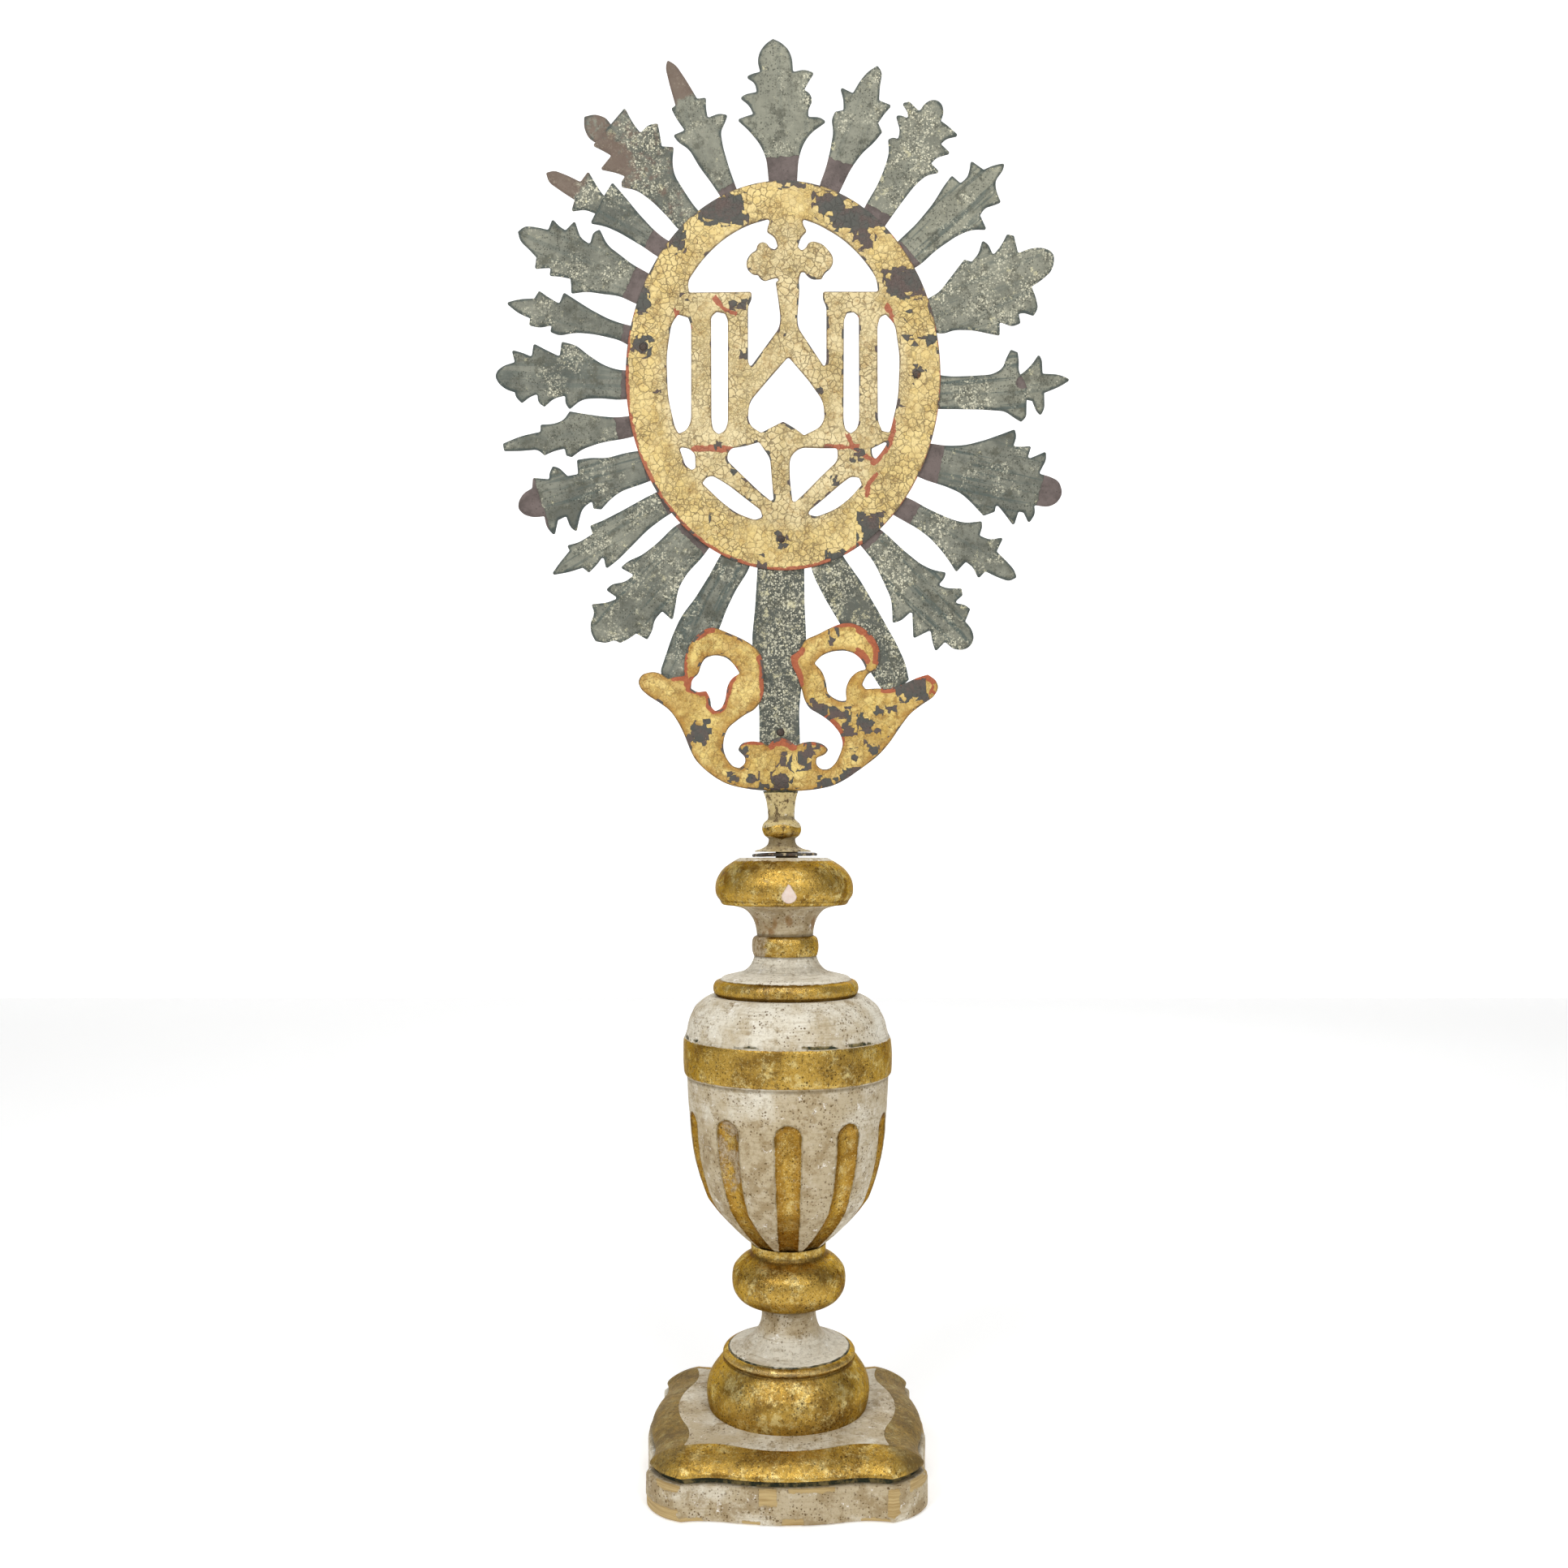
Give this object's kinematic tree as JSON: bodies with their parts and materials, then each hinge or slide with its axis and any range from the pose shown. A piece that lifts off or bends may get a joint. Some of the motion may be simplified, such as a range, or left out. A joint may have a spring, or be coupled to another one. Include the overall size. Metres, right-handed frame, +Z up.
{
  "type": "monstrance",
  "caption": "Tall church monstrance: a pierced gilt oval with a sunburst of leaf-shaped rays, carried by two scrolls on a turned, fluted wooden urn and plinth.",
  "frame": {"origin": "middle of the plinth's underside, on the axis of the turned urn", "axes": "+Z up; the painted front of the sunburst faces -Y; +X is to the right seen from the front"},
  "size_m": [0.3081, 0.1394, 0.7599],
  "materials": {
    "cream_wood": "worn cream distemper over gesso on turned wood",
    "gilt_wood": "rubbed gold leaf on turned wood",
    "painted_sheet": "dull grey-green paint, flaked off at roots and tips",
    "gilt_sheet": "crackled pale gold over red ground",
    "tin": "dull tin",
    "iron": "rusted wrought iron"
  },
  "bodies": {
    "base": {"plinth_slab": "cream_wood", "plinth_moulding": "gilt_wood", "plinth_nails": "iron", "foot_moulding": "gilt_wood", "foot_spool": "cream_wood", "lower_knob": "gilt_wood", "urn_bowl": "cream_wood", "urn_shoulder": "cream_wood", "lid": "gilt_wood", "neck_ring": "gilt_wood", "knop_spool": "cream_wood", "knop": "gilt_wood"},
    "collar": {"stem_collar": "tin"},
    "head": {"stem": "gilt_wood", "back_strut": "iron", "post": "painted_sheet", "ring_plate": "gilt_sheet", "scroll_bracket": "gilt_sheet", "rivets": "iron", "ray_01": "painted_sheet", "ray_02": "painted_sheet", "ray_03": "painted_sheet", "ray_04": "painted_sheet", "ray_05": "painted_sheet", "ray_06": "painted_sheet", "ray_06_end": "painted_sheet", "ray_07": "painted_sheet", "ray_08": "painted_sheet", "ray_09": "painted_sheet", "ray_10": "painted_sheet", "ray_11": "painted_sheet", "ray_12": "painted_sheet", "ray_13": "painted_sheet", "ray_14": "painted_sheet", "ray_15": "painted_sheet", "ray_16": "painted_sheet", "ray_17": "painted_sheet", "ray_18": "painted_sheet", "ray_19": "painted_sheet", "ray_19_end": "painted_sheet", "ray_20": "painted_sheet", "ray_20_end": "painted_sheet", "ray_21": "painted_sheet"}
  },
  "joints": [
    {"name": "head_swivel", "type": "hinge", "parent": "base", "child": "collar", "pos_m": [0, 0, 0.3208], "axis": [0, 0, 1], "continuous": true},
    {"name": "head_lift", "type": "slide", "parent": "collar", "child": "head", "axis": [0, 0, 1], "range_m": [0, 0.055]}
  ]
}
